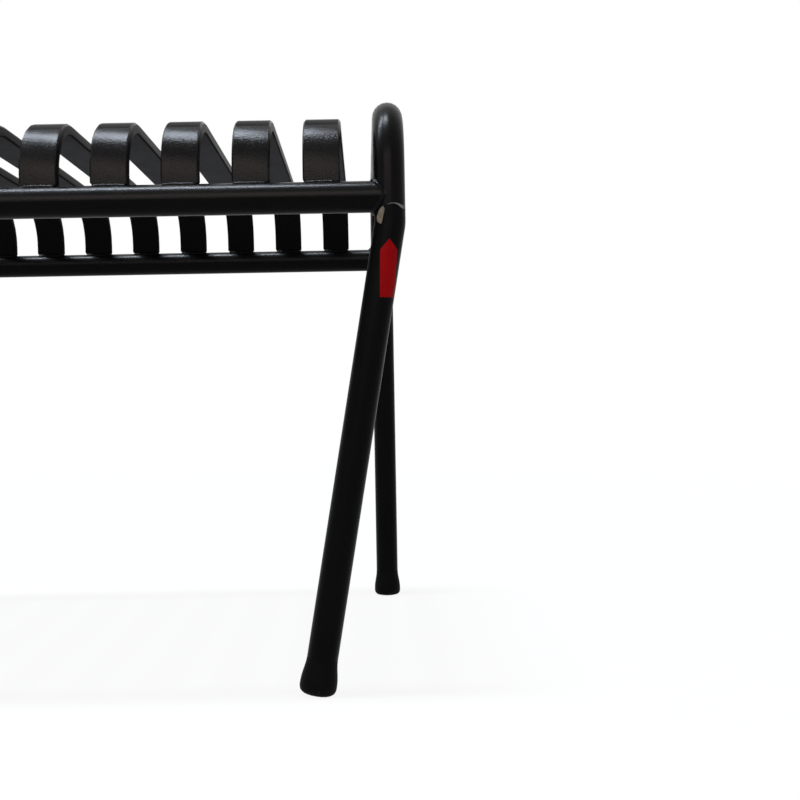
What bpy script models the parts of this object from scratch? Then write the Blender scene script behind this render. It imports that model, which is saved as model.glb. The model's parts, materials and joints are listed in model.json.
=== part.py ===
"""A backless metal garden bench: flat-bar slats on two tube rails between bent tube ends."""

import math

import bmesh
import bpy
from mathutils import Vector

# Driving dimensions, in metres and degrees
BENCH_LENGTH = 1.200
BENCH_DEPTH = 0.420
RAIL_HEIGHT = 0.396

TUBE_DIAMETER = 0.025
TUBE_WALL = 0.002

LOOP_STAND = 0.0255
LOOP_BEND = 0.048

SEAM_DROP = 0.0090
LEG_COLLAR = 0.0097
LEG_BEND = 0.030
FRONT_RAKE = 9.85

SLAT_WIDTH = 0.030
SLAT_THICKNESS = 0.010
SLAT_LEAST_GAP = 0.026
SLAT_STAND = 0.0097
SLAT_BEND = 0.050
SLAT_EDGE = 0.0016

FOOT_SPREAD = 0.0025
FOOT_FLARE = 0.020
FOOT_BAND = 0.0035
FOOT_ROUND = 0.0045
FOOT_FLAT = 0.0008
STEM_LENGTH = 0.022
STEM_CHAMFER = 0.001

WELD_RADIUS = 0.0034
WELD_SINK = 0.0012

# Clearance left between pieces that touch
JOINT_GAP = 0.0003

# Facets
TUBE_SIDES = 20
LOOP_STEPS = 7
LEG_STEPS = 3
SLAT_STEPS = 7
FLARE_STEPS = 6
ROUND_STEPS = 3
CUTTER_SIDES = 48
WELD_SIDES = 8
WELD_STEPS = 32
SMOOTH_ANGLE = 40

# Reach of the cutters past what they cut, and the weld of a turned shape at its axis
CUTTER_REACH = 0.060
AXIS_MERGE = 0.0001

# Sizes that follow from the driving dimensions
tube_radius = TUBE_DIAMETER / 2
end_x = BENCH_LENGTH / 2 - tube_radius
rail_y = BENCH_DEPTH / 2 - tube_radius
seat_radius = tube_radius + JOINT_GAP
seam_height = RAIL_HEIGHT - SEAM_DROP
foot_radius = tube_radius + FOOT_SPREAD
foot_height = FOOT_FLARE + FOOT_BAND + FOOT_ROUND
front_rake = math.radians(FRONT_RAKE)

SIDES = {"left": -1, "right": 1}
ROWS = {"front": -1, "back": 1}


def clear_scene():
    for item in list(bpy.data.objects):
        bpy.data.objects.remove(item, do_unlink=True)


def new_collection(name, hidden=False):
    group = bpy.data.collections.new(name)
    group.hide_render = hidden
    bpy.context.scene.collection.children.link(group)
    return group


def new_material(name, colour, roughness, metallic):
    material = bpy.data.materials.new(name)
    material.use_nodes = True
    shader = material.node_tree.nodes["Principled BSDF"]
    shader.inputs["Base Color"].default_value = (*colour, 1.0)
    shader.inputs["Roughness"].default_value = roughness
    shader.inputs["Metallic"].default_value = metallic
    material.diffuse_color = (*colour, 1.0)
    return material


def place(name, data, group, material=None, location=(0, 0, 0), rotation=(0, 0, 0)):
    """Put data in the scene as one named object, hung from the bench's empty unless it is a cutter."""
    item = bpy.data.objects.new(name, data)
    item.location = location
    item.rotation_euler = rotation
    group.objects.link(item)
    if material:
        if not data.materials:
            data.materials.append(material)
        item.parent = bench
    else:
        item.hide_render = True
        item.display_type = "WIRE"
    return item


def arc(centre, radius, start, end, steps):
    """Points of an arc in a plane, with angles in degrees and both ends included."""
    points = []
    for step in range(steps + 1):
        angle = math.radians(start + (end - start) * step / steps)
        points.append((centre[0] + radius * math.cos(angle), centre[1] + radius * math.sin(angle)))
    return points


def smooth(mesh):
    mesh.shade_smooth()
    mesh.set_sharp_from_angle(angle=math.radians(SMOOTH_ANGLE))


def swept_mesh(name, points, radius, sides, cyclic=False):
    """A round bar's skin along the points, open at its ends, as a mesh."""
    curve = bpy.data.curves.new(name, "CURVE")
    curve.dimensions = "3D"
    curve.bevel_depth = radius
    curve.bevel_resolution = sides // 2 - 2
    spline = curve.splines.new("POLY")
    spline.points.add(len(points) - 1)
    for knot, point in zip(spline.points, points):
        knot.co = (*point, 1.0)
    spline.use_cyclic_u = cyclic
    sweep = bpy.data.objects.new(name + "_sweep", curve)
    bpy.context.scene.collection.objects.link(sweep)
    graph = bpy.context.evaluated_depsgraph_get()
    mesh = bpy.data.meshes.new_from_object(sweep.evaluated_get(graph))
    mesh.name = name
    bpy.data.objects.remove(sweep)
    bpy.data.curves.remove(curve)
    smooth(mesh)
    return mesh


def tube(name, points, material, location):
    """A hollow round tube along the points, with its wall inside the given diameter."""
    mesh = swept_mesh(name, points, tube_radius, TUBE_SIDES)
    item = place(name, mesh, parts, material, location)
    wall = item.modifiers.new("Wall", "SOLIDIFY")
    wall.thickness = TUBE_WALL
    wall.offset = -1
    wall.use_even_offset = True
    return item


def cut(item, cutter):
    """Take the cutter's volume away from the item."""
    boolean = item.modifiers.new("Cut " + cutter.name, "BOOLEAN")
    boolean.operation = "DIFFERENCE"
    boolean.solver = "EXACT"
    boolean.object = cutter


def round_cutter(name, length, location, rotation=(0, 0, 0)):
    """A solid cylinder that clears a tube by the joint gap."""
    mesh = bpy.data.meshes.new(name)
    shape = bmesh.new()
    bmesh.ops.create_cone(
        shape,
        cap_ends=True,
        segments=CUTTER_SIDES,
        radius1=seat_radius,
        radius2=seat_radius,
        depth=length,
    )
    shape.to_mesh(mesh)
    shape.free()
    return place(name, mesh, cutters, None, location, rotation)


def add_rail(row, post_cutters):
    """A straight tube between the end tubes, coped at both ends to sit round them."""
    rail = tube(
        row + "_rail",
        [(-end_x, 0, 0), (end_x, 0, 0)],
        tube_coat,
        (0, ROWS[row] * rail_y, RAIL_HEIGHT),
    )
    for cutter in post_cutters:
        cut(rail, cutter)


def add_loop(side):
    """The bent tube at one end of the bench, from the front seam over the seat to the back seam."""
    bend_z = RAIL_HEIGHT + LOOP_STAND
    bend_y = rail_y - LOOP_BEND
    foot_z = seam_height + JOINT_GAP / 2
    outline = [(-rail_y, foot_z)]
    outline += arc((-bend_y, bend_z), LOOP_BEND, 180, 90, LOOP_STEPS)
    outline += arc((bend_y, bend_z), LOOP_BEND, 90, 0, LOOP_STEPS)
    outline.append((rail_y, foot_z))
    points = [(0, y, z) for y, z in outline]
    tube("end_loop_" + side, points, tube_coat, (SIDES[side] * end_x, 0, 0))


def raked_base_height():
    """Height of a leaning foot's centre, so that its low edge meets the floor with a small flat."""
    flat_radius = foot_radius - FOOT_ROUND
    low_edge = flat_radius * math.sin(front_rake) + FOOT_ROUND * (1 - math.cos(front_rake))
    return low_edge - FOOT_FLAT


def leg_line(row, side):
    """Points of a leg's axis from the seam to its foot, and the lean of its foot."""
    top_z = seam_height - JOINT_GAP / 2
    if row == "back":
        return [Vector((0, 0, top_z)), Vector((0, 0, 0))], 0.0
    inward = -SIDES[side]
    bend_z = seam_height - LEG_COLLAR
    points = [Vector((0, 0, top_z))]
    for x, z in arc((LEG_BEND, bend_z), LEG_BEND, 180, 180 + FRONT_RAKE, LEG_STEPS):
        points.append(Vector((inward * x, 0, z)))
    drop = points[-1].z - raked_base_height()
    points.append(points[-1] + Vector((inward * drop * math.tan(front_rake), 0, -drop)))
    return points, -inward * front_rake


def add_leg(row, side, floor_cutter):
    """A leg tube and the foot on its end."""
    line, lean = leg_line(row, side)
    place_x = SIDES[side] * end_x
    place_y = ROWS[row] * rail_y
    base = line[-1].copy()
    upward = (line[-2] - base).normalized()
    line[-1] = base + upward * (foot_height + JOINT_GAP)
    tube(f"leg_{row}_{side}", line, tube_coat, (place_x, place_y, 0))
    foot = place(
        f"foot_{row}_{side}",
        foot_mesh.copy(),
        parts,
        foot_plastic,
        (place_x + base.x, place_y, base.z),
        (0, lean, 0),
    )
    turn = foot.modifiers.new("Turn", "SCREW")
    turn.steps = TUBE_SIDES
    turn.render_steps = TUBE_SIDES
    turn.use_merge_vertices = True
    turn.merge_threshold = AXIS_MERGE
    if lean:
        cut(foot, floor_cutter)


def foot_profile():
    """Half section of a foot, from the top of its stem down its outer side to the floor."""
    stem_radius = tube_radius - TUBE_WALL - JOINT_GAP
    stem_top = foot_height + STEM_LENGTH
    points = [
        (0, stem_top),
        (stem_radius - STEM_CHAMFER, stem_top),
        (stem_radius, stem_top - STEM_CHAMFER),
        (stem_radius, foot_height),
    ]
    for step in range(FLARE_STEPS + 1):
        share = step / FLARE_STEPS
        spread = FOOT_SPREAD * share * share * (3 - 2 * share)
        points.append((tube_radius + spread, foot_height - FOOT_FLARE * share))
    points += arc((foot_radius - FOOT_ROUND, FOOT_ROUND), FOOT_ROUND, 0, -90, ROUND_STEPS)
    points.append((0, 0))
    return points


def profile_mesh(name, profile):
    """A line of edges in the XZ plane for a Screw modifier to turn."""
    points = [(x, 0, z) for x, z in profile]
    edges = [(index, index + 1) for index in range(len(points) - 1)]
    mesh = bpy.data.meshes.new(name)
    mesh.from_pydata(points, edges, [])
    return mesh


def slat_curve():
    """A slat's side outline, bent down at both ends, thickened to the slat's width."""
    outer_y = rail_y + SLAT_THICKNESS / 2
    inner_y = outer_y - SLAT_THICKNESS
    bend_y = outer_y - SLAT_BEND
    base_z = seat_radius
    bend_z = base_z + SLAT_STAND
    inner_bend = SLAT_BEND - SLAT_THICKNESS
    outline = [(-outer_y, base_z)]
    outline += arc((-bend_y, bend_z), SLAT_BEND, 180, 90, SLAT_STEPS)
    outline += arc((bend_y, bend_z), SLAT_BEND, 90, 0, SLAT_STEPS)
    outline += [(outer_y, base_z), (inner_y, base_z)]
    outline += arc((bend_y, bend_z), inner_bend, 0, 90, SLAT_STEPS)
    outline += arc((-bend_y, bend_z), inner_bend, 90, 180, SLAT_STEPS)
    outline.append((-inner_y, base_z))
    curve = bpy.data.curves.new("slat", "CURVE")
    curve.dimensions = "2D"
    curve.fill_mode = "BOTH"
    curve.extrude = SLAT_WIDTH / 2 - SLAT_EDGE
    curve.bevel_depth = SLAT_EDGE
    curve.bevel_resolution = 0
    curve.offset = -SLAT_EDGE
    spline = curve.splines.new("POLY")
    spline.points.add(len(outline) - 1)
    for knot, (y, z) in zip(spline.points, outline):
        knot.co = (y, z, 0, 1)
    spline.use_cyclic_u = True
    return curve


def add_slats():
    """Slats spread evenly between the end tubes, as many as the least gap allows."""
    clear = 2 * (end_x - tube_radius)
    count = int((clear - SLAT_LEAST_GAP) // (SLAT_WIDTH + SLAT_LEAST_GAP))
    pitch = SLAT_WIDTH + (clear - count * SLAT_WIDTH) / (count + 1)
    shape = slat_curve()
    upright = (math.radians(90), 0, math.radians(90))
    for index in range(count):
        x = (index - (count - 1) / 2) * pitch
        place(f"slat_{index + 1:02d}", shape, parts, slat_coat, (x, 0, RAIL_HEIGHT), upright)


def add_weld(row, side, post_cutter, rail_cutter):
    """The weld bead along the coped end of a rail, trimmed clear of both tubes."""
    ring_radius = tube_radius - WELD_SINK
    inward = -SIDES[side]
    points = []
    for step in range(WELD_STEPS):
        angle = 2 * math.pi * step / WELD_STEPS
        y = ring_radius * math.sin(angle)
        z = ring_radius * math.cos(angle)
        points.append((inward * math.sqrt(tube_radius**2 - y**2), y, z))
    mesh = swept_mesh(f"weld_{row}_{side}", points, WELD_RADIUS, WELD_SIDES, cyclic=True)
    centre = (SIDES[side] * end_x, ROWS[row] * rail_y, RAIL_HEIGHT)
    weld = place(mesh.name, mesh, parts, weld_coat, centre)
    cut(weld, post_cutter)
    cut(weld, rail_cutter)


def add_floor_cutter():
    """A slab whose top is the floor."""
    mesh = bpy.data.meshes.new("floor_cutter")
    shape = bmesh.new()
    bmesh.ops.create_cube(shape, size=1.0)
    shape.to_mesh(mesh)
    shape.free()
    floor = place("floor_cutter", mesh, cutters, None, (0, 0, -CUTTER_REACH / 2))
    floor.scale = (2 * BENCH_LENGTH, 2 * BENCH_DEPTH, CUTTER_REACH)
    return floor


clear_scene()
parts = new_collection("garden_bench")
cutters = new_collection("cutters", hidden=True)
bench = bpy.data.objects.new("garden_bench", None)
parts.objects.link(bench)

tube_coat = new_material("tube_black_powder_coat", (0.010, 0.010, 0.011), 0.42, 0.0)
slat_coat = new_material("slat_black_powder_coat", (0.014, 0.014, 0.016), 0.40, 0.0)
weld_coat = new_material("weld_black_powder_coat", (0.011, 0.011, 0.012), 0.42, 0.0)
foot_plastic = new_material("foot_black_plastic", (0.012, 0.012, 0.012), 0.60, 0.0)

foot_mesh = profile_mesh("foot_profile", foot_profile())
floor_slab = add_floor_cutter()

for row_name, row_sign in ROWS.items():
    post_clearances = {}
    for side_name, side_sign in SIDES.items():
        post_place = (side_sign * end_x, row_sign * rail_y, RAIL_HEIGHT)
        post_clearances[side_name] = round_cutter(
            f"post_cutter_{row_name}_{side_name}", CUTTER_REACH, post_place
        )
        add_leg(row_name, side_name, floor_slab)
    rail_place = (0, row_sign * rail_y, RAIL_HEIGHT)
    rail_clearance = round_cutter(
        f"rail_cutter_{row_name}", BENCH_LENGTH, rail_place, (0, math.radians(90), 0)
    )
    add_rail(row_name, post_clearances.values())
    for side_name in SIDES:
        add_weld(row_name, side_name, post_clearances[side_name], rail_clearance)

for side_name in SIDES:
    add_loop(side_name)

add_slats()
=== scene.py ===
"""Looks of the garden bench: powder-coated tube and flat bar, weld beads, worn paint and a plain studio."""

import json
import math

import bmesh
import bpy
from mathutils import Matrix, Vector, noise

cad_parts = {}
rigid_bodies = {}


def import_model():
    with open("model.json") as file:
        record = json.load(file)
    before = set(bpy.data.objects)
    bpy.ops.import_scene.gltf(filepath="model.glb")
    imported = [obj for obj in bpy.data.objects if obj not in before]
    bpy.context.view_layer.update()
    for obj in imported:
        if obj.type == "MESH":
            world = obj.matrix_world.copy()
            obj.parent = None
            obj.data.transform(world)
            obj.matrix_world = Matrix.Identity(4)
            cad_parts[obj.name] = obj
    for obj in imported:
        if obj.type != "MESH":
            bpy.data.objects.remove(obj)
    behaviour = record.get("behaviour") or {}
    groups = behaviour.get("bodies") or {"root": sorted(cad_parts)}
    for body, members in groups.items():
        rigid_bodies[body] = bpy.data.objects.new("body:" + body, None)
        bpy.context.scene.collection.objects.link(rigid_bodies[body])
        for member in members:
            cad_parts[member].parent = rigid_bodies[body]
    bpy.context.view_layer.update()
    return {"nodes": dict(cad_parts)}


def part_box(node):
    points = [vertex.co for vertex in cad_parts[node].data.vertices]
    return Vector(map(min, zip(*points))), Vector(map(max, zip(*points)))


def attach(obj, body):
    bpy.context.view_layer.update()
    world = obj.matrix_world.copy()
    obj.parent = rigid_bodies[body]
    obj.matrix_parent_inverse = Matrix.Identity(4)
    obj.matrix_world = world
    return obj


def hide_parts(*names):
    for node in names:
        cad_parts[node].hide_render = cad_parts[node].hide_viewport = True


for leftover in list(bpy.data.objects):
    bpy.data.objects.remove(leftover, do_unlink=True)

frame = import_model()
nodes = frame["nodes"]

SIDES = {"left": -1, "right": 1}
ROWS = {"front": -1, "back": 1}
SLATS = sorted(name for name in nodes if name.startswith("slat_"))

# Sizes read from the frame, in metres
rail_low, rail_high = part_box("front_rail")
loop_low, loop_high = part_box("end_loop_right")
tube_radius = (rail_high.z - rail_low.z) / 2
rail_y = -(rail_low.y + rail_high.y) / 2
rail_z = (rail_low.z + rail_high.z) / 2
post_x = (loop_low.x + loop_high.x) / 2
seam_z = loop_low.z

# Sizes shared with the solid model, in metres and degrees
JOINT_GAP = 0.0003
TUBE_WALL = 0.002
LEG_RAKE = 9.85
LEG_BEND = 0.030
BEND_TOP = 0.3773
FOOT_HEIGHT = 0.028
FOOT_BASE = {"front": 0.00106, "back": 0.0}


# Mesh helpers

SHARP_ANGLE = 50.0


def new_piece(name, mesh, material):
    """An object of the bench that rides on its one body."""
    piece = bpy.data.objects.new(name, mesh)
    bpy.context.scene.collection.objects.link(piece)
    mesh.materials.append(material)
    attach(piece, "root")
    return piece


def shaded_mesh(name, shape):
    """A mesh made from a bmesh, shaded smooth except across its sharp edges."""
    mesh = bpy.data.meshes.new(name)
    shape.to_mesh(mesh)
    shape.free()
    mesh.shade_smooth()
    mesh.set_sharp_from_angle(angle=math.radians(SHARP_ANGLE))
    return mesh


def loft(name, rings, closed=False, caps=False):
    """Quads between rings of equal length, each ring closed on itself."""
    shape = bmesh.new()
    rows = [[shape.verts.new(point) for point in ring] for ring in rings]
    count = len(rows[0])
    spans = list(zip(rows, rows[1:]))
    if closed:
        spans.append((rows[-1], rows[0]))
    for first, second in spans:
        for index in range(count):
            after = (index + 1) % count
            shape.faces.new((first[index], first[after], second[after], second[index]))
    if caps:
        shape.faces.new(rows[0])
        shape.faces.new(rows[-1])
    bmesh.ops.recalc_face_normals(shape, faces=shape.faces)
    return shaded_mesh(name, shape)


def join_meshes(name, meshes):
    """One mesh that holds the given ones."""
    shape = bmesh.new()
    for mesh in meshes:
        shape.from_mesh(mesh)
        bpy.data.meshes.remove(mesh)
    return shaded_mesh(name, shape)


def turns(count):
    """Angles evenly spread round a circle."""
    return [2 * math.pi * index / count for index in range(count)]


# Material helpers


def new_material(name):
    """A material with its node tree, its shader and the places on the object in metres."""
    material = bpy.data.materials.new(name)
    material.use_nodes = True
    tree = material.node_tree
    place = add(tree, "ShaderNodeTexCoord").outputs["Object"]
    return material, tree, tree.nodes["Principled BSDF"], place


def add(tree, kind, inputs=None, **settings):
    """A node with its settings and inputs, where an input is a value or an output to link."""
    node = tree.nodes.new(kind)
    for key, value in settings.items():
        setattr(node, key, value)
    for key, value in (inputs or {}).items():
        if isinstance(value, bpy.types.NodeSocket):
            tree.links.new(value, node.inputs[key])
        else:
            node.inputs[key].default_value = value
    return node


def grain(tree, place, kind):
    """Noise of a kind given as its scale per metre, its detail and its roughness."""
    scale, detail, roughness = kind
    inputs = {"Vector": place, "Scale": scale, "Detail": detail, "Roughness": roughness}
    return add(tree, "ShaderNodeTexNoise", inputs).outputs["Fac"]


def spread(tree, value, results, limits=(0.0, 1.0)):
    """Map a value between two limits to one between two results, held at both ends."""
    inputs = {
        "Value": value,
        "From Min": limits[0],
        "From Max": limits[1],
        "To Min": results[0],
        "To Max": results[1],
    }
    return add(tree, "ShaderNodeMapRange", inputs).outputs["Result"]


def maths(tree, operation, first, second):
    return add(tree, "ShaderNodeMath", {0: first, 1: second}, operation=operation).outputs["Value"]


def parts(tree, vector):
    """The X, Y and Z of a vector."""
    return add(tree, "ShaderNodeSeparateXYZ", {0: vector}).outputs


def surface_normal(tree):
    return add(tree, "ShaderNodeNewGeometry").outputs["Normal"]


def blend_colour(tree, share, first, second):
    """A share of the second colour over the first, each a colour or an output to link."""
    inputs = {0: share}
    for key, colour in ((6, first), (7, second)):
        inputs[key] = colour if isinstance(colour, bpy.types.NodeSocket) else (*colour, 1.0)
    return add(tree, "ShaderNodeMix", inputs, data_type="RGBA").outputs[2]


def bump(tree, height, strength, distance, normal=None):
    inputs = {"Height": height, "Strength": strength, "Distance": distance}
    if normal:
        inputs["Normal"] = normal
    return add(tree, "ShaderNodeBump", inputs).outputs["Normal"]


def edge_share(tree, radius, cosines):
    """How near a surface point is to an edge, from 0 on a flat to 1 on an arris."""
    rounded = add(tree, "ShaderNodeBevel", {"Radius": radius}, samples=4).outputs["Normal"]
    inputs = {0: rounded, 1: surface_normal(tree)}
    dot = add(tree, "ShaderNodeVectorMath", inputs, operation="DOT_PRODUCT").outputs["Value"]
    return spread(tree, dot, (0.0, 1.0), cosines)


def finish(tree, shader, colour, roughness, specular, normal):
    """Give a shader what every surface of the bench has."""
    tree.links.new(colour, shader.inputs["Base Color"])
    tree.links.new(roughness, shader.inputs["Roughness"])
    shader.inputs["Specular IOR Level"].default_value = specular
    tree.links.new(normal, shader.inputs["Normal"])


# Materials

# Darkest and palest tone of each finish
TUBE_TONES = ((0.0010, 0.0010, 0.0011), (0.0024, 0.0023, 0.0024))
SLAT_TONES = ((0.0002, 0.0002, 0.0002), (0.0058, 0.0052, 0.0052))
EDGE_TONES = ((0.0022, 0.0020, 0.0020), (0.0042, 0.0038, 0.0038))
# The inside's palest tone is painted light bounced up from the floor onto faces that point down
INSIDE_TONE_AND_PAINTED_BOUNCE = ((0.0040, 0.0037, 0.0036), (0.040, 0.039, 0.039))
PLASTIC_TONES = ((0.0016, 0.0016, 0.0017), (0.0030, 0.0029, 0.0028))
VINYL_TONES = ((0.205, 0.0012, 0.0022), (0.245, 0.0016, 0.0030))
CHIP_TONES = ((0.105, 0.089, 0.062), (0.205, 0.165, 0.122))
CRACK_TONES = ((0.085, 0.084, 0.080), (0.165, 0.163, 0.156))

# Powder coat: its noises, the limits between which they count, and their shares of colour and roughness
CLOUD = (26.0, 4.0, 0.6)
CLOUD_LIMITS = (0.35, 0.68)
CLOUD_SHARE = 0.35
PEEL = (720.0, 1.5, 0.5)
PEEL_LIMITS = (0.36, 0.64)
PEEL_DEPTH = 0.0004
FINE = (1700.0, 2.0, 0.6)
FINE_DEPTH = 0.00026
FINE_ROUGHNESS = (-0.05, 0.05)
PATCH_LIMITS = (0.3, 0.7)
PATCH_BELOW = 0.03
PATCH_ABOVE = 0.05

# Dust on what faces up, and paint rubbed off edges
DUST = (2600.0, 1.0, 0.5)
DUST_LIMITS = (0.52, 0.8)
DUST_SHARES = (0.0, 0.05)
DUST_FACING = (0.55, 1.0)
DUST_COLOUR = (0.06, 0.057, 0.054)
RUB_RADIUS = 0.0012
RUB_COSINES = (0.98, 0.72)
RUB_SHARES = (0.05, 0.35)
RUB_COLOUR = (0.035, 0.035, 0.037)

# Matt coat inside the slats, painted paler where it faces down as light bounced up from the floor, and on
# their edges, which people rub smoother along the seat
MATT_CLOUD = (34.0, 4.0, 0.6)
MATT_FINE = (1500.0, 2.0, 0.6)
PAINTED_BOUNCE_FACING = (-0.75, -0.99)
PAINTED_BOUNCE_SHARES = (0.75, 1.0)
SEAT_HEIGHTS = (0.438, 0.456)
SEAT_ROUGHNESS = (0.78, 0.36)

# Plastic of the feet, with dust up to the given heights
MOULD_CLOUD = (120.0, 4.0, 0.65)
MOULD_FINE = (2400.0, 2.0, 0.6)
SCUFF = (620.0, 3.0, 0.7)
SCUFF_LIMITS = (0.45, 0.75)
SCUFF_SHARES = (0.0, 0.5)
SCUFF_HEIGHTS = (0.001, 0.009)
SCUFF_COLOUR = (0.030, 0.028, 0.026)

# Sticker film and primer
VINYL_CLOUD = (160.0, 3.0, 0.6)
VINYL_FINE = (1800.0, 2.0, 0.5)
PRIMER_CLOUD = (420.0, 4.0, 0.65)
PRIMER_FINE = (2200.0, 3.0, 0.6)
PRIMER_LIMITS = (0.32, 0.68)


def powder_coat(name, tones, roughness, peel, specular, edges=False):
    """Satin powder coat: flecked black, orange peel, a fine grain, faint dust and rubbed edges."""
    material, tree, shader, place = new_material(name)
    cloud = grain(tree, place, CLOUD)
    peel_height = grain(tree, place, PEEL)
    fine_height = grain(tree, place, FINE)

    cloudy = spread(tree, cloud, (0.0, CLOUD_SHARE), CLOUD_LIMITS)
    flecked = spread(tree, peel_height, (0.0, 1.0 - CLOUD_SHARE), PEEL_LIMITS)
    colour = blend_colour(tree, maths(tree, "ADD", cloudy, flecked), *tones)
    upward = spread(tree, parts(tree, surface_normal(tree))["Z"], (0.0, 1.0), DUST_FACING)
    dusty = spread(tree, grain(tree, place, DUST), DUST_SHARES, DUST_LIMITS)
    colour = blend_colour(tree, maths(tree, "MULTIPLY", upward, dusty), colour, DUST_COLOUR)
    if edges:
        worn = edge_share(tree, RUB_RADIUS, RUB_COSINES)
        rubbed = maths(tree, "MULTIPLY", worn, spread(tree, cloud, RUB_SHARES))
        colour = blend_colour(tree, rubbed, colour, RUB_COLOUR)

    patchy = spread(tree, cloud, (roughness - PATCH_BELOW, roughness + PATCH_ABOVE), PATCH_LIMITS)
    grainy = maths(tree, "ADD", patchy, spread(tree, fine_height, FINE_ROUGHNESS))
    normal = bump(tree, peel_height, peel, PEEL_DEPTH)
    normal = bump(tree, fine_height, peel, FINE_DEPTH, normal)
    finish(tree, shader, colour, grainy, specular, normal)
    return material


def inside_coat_with_painted_bounce(name):
    """The coat on a slat's inner side: matt, and painted paler where it faces down, as if lit by light
    bounced up from the floor.
    """
    material, tree, shader, place = new_material(name)
    fine = grain(tree, place, MATT_FINE)
    # Painted bounce light: faces that point down blend towards the palest inside tone
    down = spread(tree, parts(tree, surface_normal(tree))["Z"], (0.0, 1.0), PAINTED_BOUNCE_FACING)
    patchy = spread(tree, grain(tree, place, MATT_CLOUD), PAINTED_BOUNCE_SHARES, PATCH_LIMITS)
    finish(
        tree,
        shader,
        colour=blend_colour(tree, maths(tree, "MULTIPLY", down, patchy), *INSIDE_TONE_AND_PAINTED_BOUNCE),
        roughness=spread(tree, fine, (0.62, 0.78)),
        specular=0.01,
        normal=bump(tree, fine, strength=0.3, distance=0.0002),
    )
    return material


def edge_coat(name):
    """The coat on a slat's edges: thin and matt on its legs, and rubbed smoother along the seat."""
    material, tree, shader, place = new_material(name)
    fine = grain(tree, place, MATT_FINE)
    cloudy = spread(tree, grain(tree, place, MATT_CLOUD), (0.0, 1.0), CLOUD_LIMITS)
    rubbed = spread(tree, parts(tree, place)["Z"], SEAT_ROUGHNESS, SEAT_HEIGHTS)
    finish(
        tree,
        shader,
        colour=blend_colour(tree, cloudy, *EDGE_TONES),
        roughness=maths(tree, "ADD", rubbed, spread(tree, fine, FINE_ROUGHNESS)),
        specular=0.02,
        normal=bump(tree, fine, strength=0.25, distance=0.0002),
    )
    return material


def moulded_plastic(name):
    """Matte black plastic with a fine spark-eroded grain, dusty and scuffed towards the floor."""
    material, tree, shader, place = new_material(name)
    fine = grain(tree, place, MOULD_FINE)
    low = spread(tree, parts(tree, place)["Z"], (1.0, 0.0), SCUFF_HEIGHTS)
    scuffed = spread(tree, grain(tree, place, SCUFF), SCUFF_SHARES, SCUFF_LIMITS)
    colour = blend_colour(tree, grain(tree, place, MOULD_CLOUD), *PLASTIC_TONES)
    finish(
        tree,
        shader,
        colour=blend_colour(tree, maths(tree, "MULTIPLY", low, scuffed), colour, SCUFF_COLOUR),
        roughness=spread(tree, fine, (0.50, 0.66)),
        specular=0.034,
        normal=bump(tree, fine, strength=0.25, distance=0.0002),
    )
    return material


def vinyl(name):
    """Plain red sticker film, a little uneven."""
    material, tree, shader, place = new_material(name)
    fine = grain(tree, place, VINYL_FINE)
    cloudy = spread(tree, grain(tree, place, VINYL_CLOUD), (0.0, 1.0), PATCH_LIMITS)
    finish(
        tree,
        shader,
        colour=blend_colour(tree, cloudy, *VINYL_TONES),
        roughness=spread(tree, fine, (0.42, 0.56)),
        specular=0.04,
        normal=bump(tree, fine, strength=0.12, distance=0.0002),
    )
    return material


def primer(name, tones):
    """Bare filler and primer where the coat has come away: dull, mottled and a little rough."""
    material, tree, shader, place = new_material(name)
    fine = grain(tree, place, PRIMER_FINE)
    cloudy = spread(tree, grain(tree, place, PRIMER_CLOUD), (0.0, 1.0), PRIMER_LIMITS)
    finish(
        tree,
        shader,
        colour=blend_colour(tree, cloudy, *tones),
        roughness=spread(tree, fine, (0.62, 0.85)),
        specular=0.25,
        normal=bump(tree, fine, strength=0.35, distance=0.0003),
    )
    return material


tube_coat = powder_coat("tube_powder_coat", TUBE_TONES, roughness=0.27, peel=0.10, specular=0.052)
rail_coat = powder_coat("rail_powder_coat", TUBE_TONES, roughness=0.25, peel=0.22, specular=0.085)
leg_coat = powder_coat("leg_powder_coat", TUBE_TONES, roughness=0.34, peel=0.18, specular=0.034)
slat_coat = powder_coat(
    "slat_powder_coat", SLAT_TONES, roughness=0.205, peel=0.38, specular=0.085, edges=True
)
slat_top = powder_coat(
    "slat_top_coat", SLAT_TONES, roughness=0.34, peel=0.07, specular=0.02, edges=True
)
weld_coat = powder_coat("weld_powder_coat", TUBE_TONES, roughness=0.26, peel=0.24, specular=0.052)
slat_inside = inside_coat_with_painted_bounce("slat_inside_painted_bounce")
slat_edge = edge_coat("slat_edge_coat")
foot_plastic = moulded_plastic("foot_moulded_plastic")
sticker_film = vinyl("sticker_red_vinyl")
chip_primer = primer("chip_beige_primer", CHIP_TONES)
crack_primer = primer("crack_grey_primer", CRACK_TONES)


# Solid-model nodes that stay: joined corners, smooth shading and their own coats

MERGE = 0.00001
ROUND_LIMIT = 40
SLAT_LIMIT = 60
FOOT_EDGE = 0.0025
OUTER_FACING = 0.35
EDGE_FACING = 0.85
TOP_FACING = 0.80


def paint(group, shape, chosen, material):
    """Give the chosen faces of a node group's shape a material."""
    inputs = {"Geometry": shape, "Selection": chosen, "Material": material}
    return add(group, "GeometryNodeSetMaterial", inputs).outputs["Geometry"]


def shade_smooth(group, shape, chosen, domain):
    """Shade the chosen faces or edges of a node group's shape smooth."""
    inputs = {"Geometry": shape, "Shade Smooth": chosen}
    return add(group, "GeometryNodeSetShadeSmooth", inputs, domain=domain).outputs["Geometry"]


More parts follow.
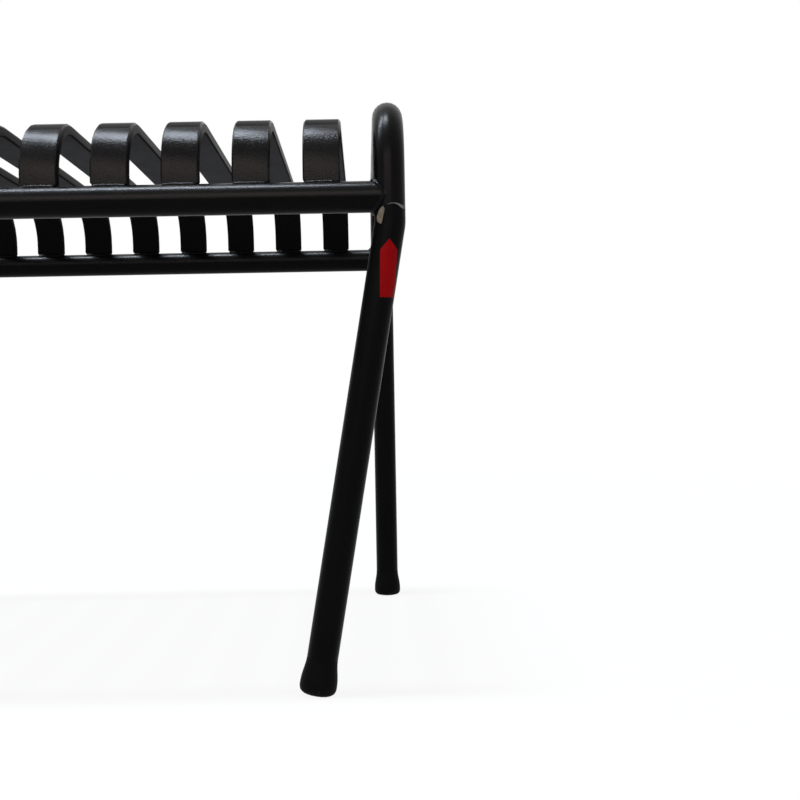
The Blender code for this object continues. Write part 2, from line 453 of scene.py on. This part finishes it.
def paint_slat(group, shape, place, inside, edge, top):
    """Give a slat's inner side, its two edges and its top their own coats."""
    facing = parts(group, add(group, "GeometryNodeInputNormal").outputs["Normal"])
    side = maths(group, "SIGN", place["Y"], 0.0)
    outer = maths(group, "MAXIMUM", maths(group, "MULTIPLY", side, facing["Y"]), facing["Z"])
    sideways = maths(group, "ABSOLUTE", facing["X"], 0.0)
    shape = paint(group, shape, maths(group, "LESS_THAN", outer, OUTER_FACING), inside)
    shape = paint(group, shape, maths(group, "GREATER_THAN", sideways, EDGE_FACING), edge)
    return paint(group, shape, maths(group, "GREATER_THAN", facing["Z"], TOP_FACING), top)


def smoothing(limit, coats=None):
    """A node group that joins split corners and shades smooth across edges up to a limit in degrees.

    Given a slat's inner, edge and top coats, it also keeps the edges of its feet sharp and paints it.
    """
    group = bpy.data.node_groups.new(f"smooth_to_{limit}", "GeometryNodeTree")
    for direction in ("INPUT", "OUTPUT"):
        group.interface.new_socket("Geometry", in_out=direction, socket_type="NodeSocketGeometry")
    place = parts(group, add(group, "GeometryNodeInputPosition").outputs["Position"])
    shape = group.nodes.new("NodeGroupInput").outputs[0]
    inputs = {"Geometry": shape, "Distance": MERGE}
    shape = add(group, "GeometryNodeMergeByDistance", inputs).outputs["Geometry"]
    inputs = {"Geometry": shape, "Name": "custom_normal"}
    shape = add(group, "GeometryNodeRemoveAttribute", inputs).outputs["Geometry"]
    shape = shade_smooth(group, shape, True, "FACE")
    angle = add(group, "GeometryNodeInputMeshEdgeAngle").outputs["Unsigned Angle"]
    smooth = maths(group, "LESS_THAN", angle, math.radians(limit))
    if coats:
        raised = maths(group, "GREATER_THAN", place["Z"], rail_high.z + FOOT_EDGE)
        smooth = maths(group, "MULTIPLY", smooth, raised)
    shape = shade_smooth(group, shape, smooth, "EDGE")
    if coats:
        shape = paint_slat(group, shape, place, *coats)
    group.links.new(shape, group.nodes.new("NodeGroupOutput").inputs[0])
    return group


def dress(name, material, group, weighted=False):
    """Give a node its coat and its shading, with its flats kept flat if weighted."""
    node = nodes[name]
    node.material_slots[0].material = material
    node.modifiers.new("Smooth", "NODES").node_group = group
    if weighted:
        node.modifiers.new("Flat faces", "WEIGHTED_NORMAL").keep_sharp = True


round_shading = smoothing(ROUND_LIMIT)
slat_shading = smoothing(SLAT_LIMIT, (slat_inside, slat_edge, slat_top))
for side in SIDES:
    dress("end_loop_" + side, tube_coat, round_shading)
    for row in ROWS:
        dress(f"leg_{row}_{side}", leg_coat, round_shading)
        dress(f"foot_{row}_{side}", foot_plastic, round_shading)
for name in SLATS:
    dress(name, slat_coat, slat_shading, weighted=True)


# Rails: round tubes coped to the end tubes

RAIL_SIDES = 72
RAIL_STATIONS = 48
COPE_REACH = 0.012
# Faces that point down more than this have the duller coat of the legs
RAIL_UNDER = -0.09


def rail_rings(radius, row):
    """Rings of a rail from left to right, the first and the last coped to the end tubes."""
    seat = tube_radius + JOINT_GAP
    straight = post_x - seat - COPE_REACH
    section = [(radius * math.sin(angle), radius * math.cos(angle)) for angle in turns(RAIL_SIDES)]
    coped = [post_x - math.sqrt(seat * seat - y * y) for y, z in section]
    stations = [[-x for x in coped]]
    for step in range(RAIL_STATIONS + 1):
        stations.append([straight * (2 * step / RAIL_STATIONS - 1)] * RAIL_SIDES)
    stations.append(coped)
    rings = []
    for station in stations:
        rings.append([(x, ROWS[row] * rail_y + y, rail_z + z) for x, (y, z) in zip(station, section)])
    return rings


def add_rail(row):
    rings = rail_rings(tube_radius, row)
    rings += reversed(rail_rings(tube_radius - TUBE_WALL, row))
    mesh = loft(row + "_rail_tube", rings, closed=True)
    rail = new_piece(row + "_rail_tube", mesh, rail_coat)
    mesh.materials.append(leg_coat)
    for face in mesh.polygons:
        face.material_index = 1 if face.normal.z < RAIL_UNDER else 0
    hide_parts(row + "_rail")


# Weld beads: rippled rings where the rails meet the end tubes

BEAD_RADIUS = 0.0034
BEAD_SIDE_RADIUS = 0.0018
BEAD_SINK = 0.0012
BEAD_STEPS = 240
BEAD_SIDES = 14
BEAD_RIPPLES = 34
BEAD_RIPPLE = 0.00007
BEAD_UNEVEN = 0.6
BEAD_UNEVEN_SCALE = 260.0


def add_bead(row, side):
    inward = -SIDES[side]
    centre = Vector((SIDES[side] * post_x, ROWS[row] * rail_y, rail_z))
    ring_radius = tube_radius - BEAD_SINK
    path = []
    for turn in turns(BEAD_STEPS):
        y = ring_radius * math.sin(turn)
        z = ring_radius * math.cos(turn)
        path.append(Vector((inward * math.sqrt(tube_radius**2 - y * y), y, z)))
    rings = []
    for step, turn in enumerate(turns(BEAD_STEPS)):
        point = path[step]
        along = (path[(step + 1) % BEAD_STEPS] - path[step - 1]).normalized()
        outward = Vector((0, point.y, point.z)).normalized()
        sideways = along.cross(outward).normalized()
        lift = sideways.cross(along).normalized()
        uneven = noise.noise((point + centre) * BEAD_UNEVEN_SCALE)
        ripple = math.sin(BEAD_RIPPLES * turn) + BEAD_UNEVEN * uneven
        corner = (point.z / ring_radius) ** 2
        radius = BEAD_SIDE_RADIUS + (BEAD_RADIUS - BEAD_SIDE_RADIUS) * corner + BEAD_RIPPLE * ripple
        ring = []
        for angle in turns(BEAD_SIDES):
            ring.append(centre + point + radius * (math.cos(angle) * lift + math.sin(angle) * sideways))
        rings.append(ring)
    name = f"weld_{row}_{side}_bead"
    bead = new_piece(name, loft(name, rings, closed=True), weld_coat)
    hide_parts(f"weld_{row}_{side}")


# Foot rims: the moulded shoulder that shows in the joint between a leg and its foot

RIM_SINK = 0.0001
RIM_HALF = 0.0004
RIM_SIDES = 60


def leg_axis(row, side):
    """The bend's lower end and the direction down the leg."""
    if row == "back":
        return Vector((SIDES[side] * post_x, rail_y, seam_z)), Vector((0, 0, -1))
    rake = math.radians(LEG_RAKE)
    shift = LEG_BEND * (1 - math.cos(rake))
    start = Vector((SIDES[side] * (post_x - shift), -rail_y, BEND_TOP - LEG_BEND * math.sin(rake)))
    return start, Vector((-SIDES[side] * math.sin(rake), 0, -math.cos(rake)))


def add_rim(row, side):
    start, down = leg_axis(row, side)
    joint_z = FOOT_BASE[row] - (FOOT_HEIGHT + JOINT_GAP / 2) * down.z
    joint = start + down * ((joint_z - start.z) / down.z)
    depth = Vector((0, 1, 0))
    cross = down.cross(depth)
    profile = (
        (-RIM_HALF, RIM_SINK),
        (RIM_HALF, RIM_SINK),
        (RIM_HALF, TUBE_WALL),
        (-RIM_HALF, TUBE_WALL),
    )
    rings = []
    for along, inset in profile:
        ring = []
        for angle in turns(RIM_SIDES):
            spoke = cross * math.sin(angle) + depth * math.cos(angle)
            ring.append(joint + down * along + spoke * (tube_radius - inset))
        rings.append(ring)
    name = f"foot_{row}_{side}_rim"
    new_piece(name, loft(name, rings, closed=True), foot_plastic)


# Tack welds: small fillets along both faces of each slat's foot

TACK_LENGTH = 0.0275
TACK_LEG = 0.0021
TACK_ROUND = 0.92
TACK_END = 0.12
TACK_STEPS = 40
TACK_SIDES = 10
TACK_RIPPLE = 0.00016
# Radians of ripple from the middle of a fillet to its end
TACK_WAVE = 44.0
TACK_UNEVEN = 0.0004
TACK_UNEVEN_ALONG = 420.0
TACK_UNEVEN_ACROSS = 90.0
TACK_UNEVEN_SEED = 3.7


def tack_mesh(name, middle, face_y, outward):
    """A fillet on the rail along one face of a slat's foot, tapering out at its ends."""
    rings = []
    for step in range(TACK_STEPS + 1):
        share = 2 * step / TACK_STEPS - 1
        x = middle + share * TACK_LENGTH / 2
        fade = math.sqrt(max(0.0, 1 - share**4))
        uneven = noise.noise((x * TACK_UNEVEN_ALONG, face_y * TACK_UNEVEN_ACROSS, TACK_UNEVEN_SEED))
        leg = TACK_LEG + TACK_RIPPLE * math.sin(TACK_WAVE * share) + TACK_UNEVEN * uneven
        radius = TACK_ROUND * leg * (TACK_END + (1 - TACK_END) * fade)
        ring = []
        for angle in turns(TACK_SIDES):
            y = face_y + outward * radius * math.cos(angle)
            offset = y - math.copysign(rail_y, y)
            crest = rail_z + math.sqrt(max(0.0, tube_radius**2 - offset * offset))
            ring.append((x, y, crest + radius * math.sin(angle)))
        rings.append(ring)
    return loft(name, rings, caps=True)


def add_tacks(row):
    meshes = []
    for name in SLATS:
        low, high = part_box(name)
        middle = (low.x + high.x) / 2
        half_thickness = high.y - rail_y
        for outward in (-1, 1):
            face_y = ROWS[row] * rail_y + outward * half_thickness
            meshes.append(tack_mesh(f"{name}_tack", middle, face_y, outward))
    name = f"slat_tacks_{row}"
    new_piece(name, join_meshes(name, meshes), weld_coat)


for row in ROWS:
    add_rail(row)
    add_tacks(row)
    for side in SIDES:
        add_bead(row, side)
        add_rim(row, side)


# Thin films on the front right tube: the sticker, the chip and the crack

MILLIMETRE = 0.001
FILM_LOW = 0.00001
FILM_HIGH = 0.00006

STICKER_LOW = 0.00002
STICKER_HIGH = 0.00012
STICKER_TIP = (0.00142, 0.0111)
STICKER_TURN = 8.3
STICKER_HALF = 0.0072
STICKER_HEAD = 0.0087
STICKER_LENGTH = 0.0461
STICKER_HEAD_LEVELS = (0.0002, 0.0025, 0.005, 0.0075)
STICKER_STEPS = 10
STICKER_COLUMNS = 20

CHIP_COLUMNS = 8
# Chip outline: height, left arc and right arc, in millimetres
CHIP_ROWS = (
    (386.7, -5.8, -5.5),
    (386.0, -6.9, -5.2),
    (385.3, -7.9, -4.8),
    (384.2, -9.1, -4.6),
    (383.1, -10.0, -4.6),
    (381.6, -10.9, -4.9),
    (380.1, -11.9, -5.4),
    (378.6, -12.4, -5.9),
    (377.0, -12.4, -6.2),
    (375.5, -11.9, -6.5),
    (374.6, -10.9, -6.7),
    (373.7, -9.7, -6.8),
    (373.0, -8.2, -7.0),
)

CRACK_COLUMNS = 3
CRACK_JAG = 0.08
CRACK_JAG_SCALE = 0.37
CRACK_JAG_SEED = 1.3
CRACK_TOP_SHARE = 0.5
# Crack line: angle round the tube, height of its middle, and its width, in degrees and millimetres
CRACK_LINE = (
    (-9, 387.40, 0.15),
    (-4, 388.05, 0.42),
    (0, 388.35, 0.50),
    (5, 388.60, 0.48),
    (12, 388.62, 0.52),
    (20, 388.50, 0.73),
    (24, 388.35, 1.00),
    (28, 388.13, 1.35),
    (32, 387.81, 1.80),
    (37, 387.38, 2.20),
    (41, 386.95, 2.50),
    (46, 386.60, 2.60),
    (52, 386.35, 2.60),
    (59, 386.16, 2.55),
    (67, 386.10, 2.50),
    (78, 386.05, 2.30),
    (90, 386.10, 1.70),
    (104, 386.30, 0.90),
    (116, 386.50, 0.20),
)


def post_point(arc, height, lift):
    """A point on the front right end tube or the bend under it.

    The arc length runs round the tube from its front, and lift is the distance off its surface.
    """
    angle = arc / tube_radius
    radius = tube_radius + lift
    drop = max(0.0, BEND_TOP - height)
    middle = post_x - LEG_BEND + math.sqrt(LEG_BEND**2 - drop**2)
    return Vector((middle + radius * math.sin(angle), -rail_y - radius * math.cos(angle), height))


def leg_point(arc, down, lift):
    """A point on the leaning part of the front right leg, from an arc length and a distance down it."""
    start, axis = leg_axis("front", "right")
    depth = Vector((0, 1, 0))
    outer = axis.cross(depth)
    angle = arc / tube_radius
    radius = tube_radius + lift
    return start + axis * down + radius * (outer * math.sin(angle) - depth * math.cos(angle))


def film(name, rows, surface, low, high, material):
    """A thin closed shell on a tube, from rows of places on its surface that have one length."""
    rings = []
    for row in rows:
        top = [surface(arc, height, high) for arc, height in row]
        under = [surface(arc, height, low) for arc, height in reversed(row)]
        rings.append(top + under)
    new_piece(name, loft(name, rings, caps=True), material)


def across(first, last, count):
    """Places evenly spread from the first to the last."""
    start = Vector(first)
    return [start.lerp(last, step / count) for step in range(count + 1)]


def add_sticker():
    """A plain sticker with a pointed top, turned so that it hangs upright on the leaning leg."""
    turn = math.radians(STICKER_TURN)

    def place(side, down):
        arc = STICKER_TIP[0] + side * math.cos(turn) + down * math.sin(turn)
        return arc, STICKER_TIP[1] - side * math.sin(turn) + down * math.cos(turn)

    levels = list(STICKER_HEAD_LEVELS)
    for step in range(STICKER_STEPS + 1):
        levels.append(STICKER_HEAD + (STICKER_LENGTH - STICKER_HEAD) * step / STICKER_STEPS)
    rows = []
    for level in levels:
        half = STICKER_HALF * min(1.0, level / STICKER_HEAD)
        rows.append(across(place(-half, level), place(half, level), STICKER_COLUMNS))
    film("arrow_sticker", rows, leg_point, STICKER_LOW, STICKER_HIGH, sticker_film)


def add_chip():
    rows = []
    for height, left, right in CHIP_ROWS:
        start = (left * MILLIMETRE, height * MILLIMETRE)
        end = (right * MILLIMETRE, height * MILLIMETRE)
        rows.append(across(start, end, CHIP_COLUMNS))
    film("paint_chip", rows, post_point, FILM_LOW, FILM_HIGH, chip_primer)


def add_crack():
    rows = []
    for angle, height, width in CRACK_LINE:
        arc = math.radians(angle) * tube_radius
        jag = CRACK_JAG * noise.noise((angle * CRACK_JAG_SCALE, height, CRACK_JAG_SEED))
        low = (height - width / 2 + jag) * MILLIMETRE
        high = (height + width / 2 + jag * CRACK_TOP_SHARE) * MILLIMETRE
        rows.append(across((arc, low), (arc, high), CRACK_COLUMNS))
    film("seam_crack", rows, post_point, FILM_LOW, FILM_HIGH, crack_primer)


add_sticker()
add_chip()
add_crack()


# Studio: floor, world, lamps and camera

WHITE = (1.0, 1.0, 1.0, 1.0)
FLOOR_SIZE = 40.0
FLOOR_DROP = 0.0002
FLOOR_COLOUR = (0.93, 0.93, 0.93, 1.0)
# Share of plain white in the floor that is seen, near the bench and far from it
WHITE_SHARES = (0.90, 1.0)
WHITE_REACH = (0.6, 2.6)
FILL_COLOUR = (0.97, 0.985, 1.0, 1.0)
FILL_STRENGTH = 0.18

COOL_LIGHT = (0.80, 0.88, 1.0)
WARM_LIGHT = (1.0, 0.84, 0.78)
# Lamps: place, target, watts, colour, and width and depth
LAMPS = {
    "overhead": ((-1.05, -0.20, 8.4), (-1.05, -0.20, 0.4), 740, COOL_LIGHT, (2.40, 0.84)),
    "front_fill": ((-0.1, -2.6, 1.45), (0, 0, 0.4), 27, WARM_LIGHT, (2.4, 1.0)),
    "left_strip": ((-6.15, 0.9, 8.4), (-6.15, 0.9, 0.4), 1040, COOL_LIGHT, (6.5, 0.84)),
}
STRIP_SPREAD = 124.0

# Camera: place, turn and lens fitted to the photograph's lines
EYE = Vector((0.565687, -1.006666, 0.242102))
YAW = -0.0022
PITCH = -0.0096
ROLL = -0.0181
FOCAL_PIXELS = 1014.65
IMAGE_PIXELS = 800
CENTRE_PIXEL = 368.0
SENSOR = 36.0
CLIP_START = 0.01


def seen(tree):
    """1 for what the eye, a reflection or glass sees, and 0 for what only lights."""
    path = add(tree, "ShaderNodeLightPath").outputs
    either = maths(tree, "MAXIMUM", path["Is Camera Ray"], path["Is Glossy Ray"])
    return maths(tree, "MAXIMUM", either, path["Is Transmission Ray"])


def add_floor():
    half = FLOOR_SIZE / 2
    outline = ((-half, -half), (half, -half), (half, half), (-half, half))
    mesh = bpy.data.meshes.new("floor")
    mesh.from_pydata([(x, y, -FLOOR_DROP) for x, y in outline], [], [(0, 1, 2, 3)])
    floor = bpy.data.objects.new("floor", mesh)
    bpy.context.scene.collection.objects.link(floor)
    material, tree, shader, place = new_material("floor_pale")
    tree.nodes.remove(shader)
    matte = add(tree, "ShaderNodeBsdfDiffuse", {"Color": FLOOR_COLOUR}).outputs["BSDF"]
    white = add(tree, "ShaderNodeEmission", {"Color": WHITE, "Strength": 1.0}).outputs["Emission"]
    reach = add(tree, "ShaderNodeVectorMath", {0: place}, operation="LENGTH").outputs["Value"]
    share = maths(tree, "MULTIPLY", seen(tree), spread(tree, reach, WHITE_SHARES, WHITE_REACH))
    mixed = add(tree, "ShaderNodeMixShader", {0: share, 1: matte, 2: white}).outputs["Shader"]
    tree.links.new(mixed, tree.nodes["Material Output"].inputs["Surface"])
    mesh.materials.append(material)


def add_world():
    world = bpy.data.worlds.new("studio")
    world.use_nodes = True
    bpy.context.scene.world = world
    tree = world.node_tree
    fill = tree.nodes["Background"]
    fill.inputs["Color"].default_value = FILL_COLOUR
    fill.inputs["Strength"].default_value = FILL_STRENGTH
    white = add(tree, "ShaderNodeBackground", {"Color": WHITE, "Strength": 1.0})
    mixed = add(tree, "ShaderNodeMixShader", {0: seen(tree), 1: fill.outputs[0], 2: white.outputs[0]})
    tree.links.new(mixed.outputs["Shader"], tree.nodes["World Output"].inputs["Surface"])


def add_lamp(name, place, target, watts, colour, size):
    data = bpy.data.lights.new(name, "AREA")
    data.shape = "RECTANGLE"
    data.size, data.size_y = size
    data.energy = watts
    data.color = colour
    lamp = bpy.data.objects.new(name, data)
    lamp.location = place
    lamp.rotation_euler = (Vector(target) - Vector(place)).to_track_quat("-Z", "Y").to_euler()
    lamp.visible_camera = False
    bpy.context.scene.collection.objects.link(lamp)
    return lamp


def add_camera():
    ahead = Vector((-math.sin(YAW), math.cos(YAW), 0))
    right = Vector((math.cos(YAW), math.sin(YAW), 0))
    up = Vector((0, 0, 1))
    look = ahead * math.cos(PITCH) + up * math.sin(PITCH)
    lift = up * math.cos(PITCH) - ahead * math.sin(PITCH)
    x_axis = right * math.cos(ROLL) + lift * math.sin(ROLL)
    y_axis = lift * math.cos(ROLL) - right * math.sin(ROLL)
    data = bpy.data.cameras.new("camera")
    data.sensor_width = SENSOR
    data.lens = FOCAL_PIXELS / IMAGE_PIXELS * SENSOR
    data.shift_x = (IMAGE_PIXELS / 2 - CENTRE_PIXEL) / IMAGE_PIXELS
    data.clip_start = CLIP_START
    camera = bpy.data.objects.new("camera", data)
    turned = Matrix((x_axis, y_axis, -look)).transposed().to_4x4()
    camera.matrix_world = Matrix.Translation(EYE) @ turned
    bpy.context.scene.collection.objects.link(camera)
    bpy.context.scene.camera = camera


add_floor()
add_world()
lamps = {name: add_lamp(name, *settings) for name, settings in LAMPS.items()}
# The long strip shows only in reflections
lamps["left_strip"].visible_diffuse = False
lamps["left_strip"].data.spread = math.radians(STRIP_SPREAD)
add_camera()
bpy.context.scene.view_settings.view_transform = "Standard"
